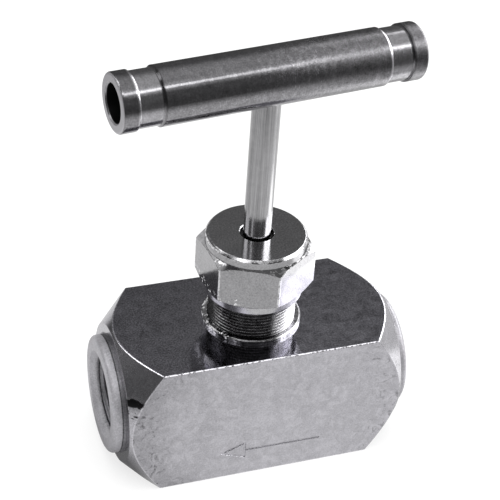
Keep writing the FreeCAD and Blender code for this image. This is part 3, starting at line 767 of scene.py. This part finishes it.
# ---------------------------------------------------------------- port threads
THREAD_PITCH = 0.0018143      # 14 threads per inch
THREAD_TAPER = 1 / 32         # change of radius along the thread
THREAD_DEPTH = 0.00075
THREAD_START = 0.0015         # depth behind the boss's face
THREAD_LENGTH = 0.0137
THREAD_ROOT_LIFT = 0.00006    # keeps the roots off the CAD wall
THREAD_FLAT = 0.14            # share of the pitch's wave that is flat at the root and at the crest
RUN_OUT = 0.0016
SLEEVE_OUTER = PORT_RADIUS + 0.0003
AROUND = 120
RINGS_PER_PITCH = 12


def thread_radius(depth, angle):
    """The thread surface's radius at a depth into the port, as a trapezoid wave along a helix."""
    phase = (depth / THREAD_PITCH - angle / (2 * math.pi)) % 1.0
    wave = 1 - abs(2 * phase - 1)
    tooth = min(1.0, max(0.0, (wave - THREAD_FLAT) / (1 - 2 * THREAD_FLAT)))
    fade_in = min(1.0, max(0.0, depth / RUN_OUT))
    fade_out = min(1.0, max(0.0, (THREAD_LENGTH - depth) / RUN_OUT))
    root = PORT_RADIUS - THREAD_ROOT_LIFT - depth * THREAD_TAPER * fade_out
    return root - tooth * THREAD_DEPTH * min(fade_in, fade_out)


def sleeve_radius(depth, angle):
    return SLEEVE_OUTER


def add_ring(mesh, sign, depth, radius_at):
    """A ring of vertices across the port on the given side in X."""
    x = sign * (PORT_FACE_X - THREAD_START - depth)
    ring = []
    for j in range(AROUND):
        angle = 2 * math.pi * j / AROUND
        r = radius_at(depth, angle)
        y, z = sign * r * math.cos(angle), PORT_AXIS_Z + r * math.sin(angle)
        ring.append(mesh.verts.new((x, y, z)))
    return ring


def port_thread(name, sign, material):
    """A closed sleeve whose inner wall is the port's tapered thread, on the sign's side in X."""
    steps = int(THREAD_LENGTH / THREAD_PITCH * RINGS_PER_PITCH)
    depths = [THREAD_LENGTH * i / steps for i in range(steps + 1)]
    mesh = bmesh.new()
    inner = [add_ring(mesh, sign, depth, thread_radius) for depth in depths]
    mouth, back = (add_ring(mesh, sign, depth, sleeve_radius) for depth in (0.0, THREAD_LENGTH))
    loops = [mouth, *inner, back, mouth]
    for first, second in zip(loops, loops[1:]):
        for j in range(AROUND):
            k = (j + 1) % AROUND
            mesh.faces.new((first[j], first[k], second[k], second[j]))
    bmesh.ops.recalc_face_normals(mesh, faces=mesh.faces)
    data = bpy.data.meshes.new(name)
    mesh.to_mesh(data)
    mesh.free()
    data.materials.append(material)
    for polygon in data.polygons:
        polygon.use_smooth = True
    piece = bpy.data.objects.new(name, data)
    SCENE.collection.objects.link(piece)
    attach(piece, "valve")


# ---------------------------------------------------------------- floor, light and surroundings
FLOOR_HALF_SIZE = 3.0
FLOOR_DROP = 0.0001
FLOOR_GREY = 0.30
FLOOR_LIFT = 0.70             # light the floor gives off, so that it is nearly white
LIT_CENTRE = (-0.015, 0.010, 0.0)
LIT_REACH = 0.5               # distance from the centre at which the floor's ramp ends
PATCH_CENTRE = (0.108, -0.008, 0.0)
PATCH_REACH = (0.052, 0.024)
SHADE_CENTRE_X = -0.034
LIGHT_PLACE = (0.05, -0.15, 0.9)
LIGHT_TARGET = (0, 0, 0.03)
LIGHT_SIZE = 0.9
LIGHT_POWER = 6.0

# The studio in the world, in degrees: low, high and the soft shoulder outside them
WINDOW_BEARING = (-34, 48, 8)
WINDOW_HEIGHT = (17, 43, 6)
CARD_HEIGHT = (-5, 14, 4)
BACK_BEARING = (138, 168, 8)
BACK_HEIGHT = (34, 58, 6)
STRIP_TILT = 58               # from the front horizon, over the valve
STRIP_CORE = (6.0, 2.5)       # off the strip's middle
STRIP_HALO = (22, 3)


def make_world():
    """White to the camera and to matt surfaces, and a studio with a window to polished metal."""
    world = bpy.data.worlds.new("studio")
    world.use_nodes = True
    SCENE.world = world
    n = Nodes(world.node_tree)
    x, y, z = n.split(n.add("ShaderNodeTexCoord").outputs["Generated"])
    bearing = n.bearing(x, y)
    height = n.math("ARCSINE", z)
    ceiling = n.ramp(z, [
        (0.0, 0.09), (0.30, 0.13), (0.57, 0.15), (0.70, 0.28), (0.86, 0.50), (1.0, 0.57),
    ])

    # A strip light over the front, from left to right, with a halo round it
    tilt = n.bearing(n.math("MULTIPLY", y, -1.0), z)
    off_strip = n.abs(n.less(tilt, math.radians(STRIP_TILT)))
    strip_end = n.step(n.abs(x), 0.86, 0.66)
    core, halo = (
        n.times(n.step(off_strip, *map(math.radians, width)), strip_end)
        for width in (STRIP_CORE, STRIP_HALO)
    )

    # A window on the right with a card below it, and a smaller light behind on the left
    across = n.sector(bearing, *WINDOW_BEARING)
    window = n.times(across, n.sector(height, *WINDOW_HEIGHT))
    low_card = n.times(across, n.sector(height, *CARD_HEIGHT))
    back_light = n.times(n.sector(bearing, *BACK_BEARING), n.sector(height, *BACK_HEIGHT))

    studio = n.sum(
        ceiling,
        n.times(core, n.step(x, 0.36, 0.46, 2.6, 1.2)),
        n.times(halo, 0.30),
        n.times(window, 4.2),
        n.times(low_card, 0.7),
        n.times(back_light, 2.4),
    )
    glossy = n.add("ShaderNodeLightPath").outputs["Is Glossy Ray"]
    background = n.add("ShaderNodeBackground")
    background.inputs["Color"].default_value = (1, 1, 1, 1)
    n.put(background.inputs["Strength"], n.mix(glossy, 1.0, studio))
    n.finish("ShaderNodeOutputWorld", "Surface", background.outputs[0])


def floor_material():
    """A pale matt sheet. Polished metal sees its lit middle fade out towards its edges."""
    material = bpy.data.materials.new("floor_sheet")
    material.use_nodes = True
    n = Nodes(material.node_tree)
    place = n.add("ShaderNodeTexCoord").outputs["Object"]
    x, y, _ = n.split(place)

    # What polished metal sees: a lit middle, the right side, a bright patch and the valve's shade
    lit = n.ramp(n.times(n.distance(place, LIT_CENTRE), 1 / LIT_REACH), [
        (0.0, 0.84), (0.26, 0.84), (0.34, 0.72), (0.40, 0.62), (0.52, 0.36), (0.80, 0.14),
        (1.0, 0.10),
    ])
    right_side = n.times(n.step(x, 0.06, 0.12), n.sector(n.bearing(x, y), -22, 48, 12))
    lit = n.mix(right_side, lit, 0.80)
    lit = n.sum(lit, n.step(n.distance(place, PATCH_CENTRE), *PATCH_REACH, 0.0, 1.4))
    under_x = n.step(n.abs(n.sum(x, -SHADE_CENTRE_X)), 0.026, 0.014)
    under_y = n.step(n.abs(y), 0.024, 0.012)
    lit = n.times(lit, n.less(1.0, n.times(under_x, under_y, 0.80)))
    glow = n.add("ShaderNodeEmission")
    n.put(glow.inputs["Strength"], lit)

    # What the camera and matt surfaces see
    matt = n.add("ShaderNodeBsdfDiffuse")
    matt.inputs["Color"].default_value = (FLOOR_GREY, FLOOR_GREY, FLOOR_GREY, 1)
    lift = n.add("ShaderNodeEmission")
    lift.inputs["Strength"].default_value = FLOOR_LIFT
    pale = n.fill(n.add("ShaderNodeAddShader"), matt.outputs[0], lift.outputs[0])

    glossy = n.add("ShaderNodeLightPath").outputs["Is Glossy Ray"]
    chosen = n.fill(n.add("ShaderNodeMixShader"), glossy, pale, glow.outputs[0])
    n.finish("ShaderNodeOutputMaterial", "Surface", chosen)
    return material


def make_floor():
    data = bpy.data.meshes.new("floor")
    s = FLOOR_HALF_SIZE
    data.from_pydata([(-s, -s, 0), (s, -s, 0), (s, s, 0), (-s, s, 0)], [], [(0, 1, 2, 3)])
    data.materials.append(floor_material())
    floor = bpy.data.objects.new("floor", data)
    floor.location.z = -FLOOR_DROP
    SCENE.collection.objects.link(floor)


def make_light():
    """One soft light from above, which neither the camera nor polished metal sees."""
    data = bpy.data.lights.new("soft_top", "AREA")
    data.shape = "RECTANGLE"
    data.size = LIGHT_SIZE
    data.size_y = LIGHT_SIZE
    data.energy = LIGHT_POWER
    light = bpy.data.objects.new("soft_top", data)
    light.location = LIGHT_PLACE
    aim = Vector(LIGHT_TARGET) - Vector(LIGHT_PLACE)
    light.rotation_euler = aim.to_track_quat("-Z", "Y").to_euler()
    light.visible_camera = False
    light.visible_glossy = False
    SCENE.collection.objects.link(light)


def main():
    SCENE.view_settings.view_transform = "Standard"
    make_camera()
    make_world()
    make_floor()
    make_light()
    materials = dress_nodes()
    port_thread("inlet_thread", 1, materials["body_steel"])
    port_thread("outlet_thread", -1, materials["body_steel"])


main()
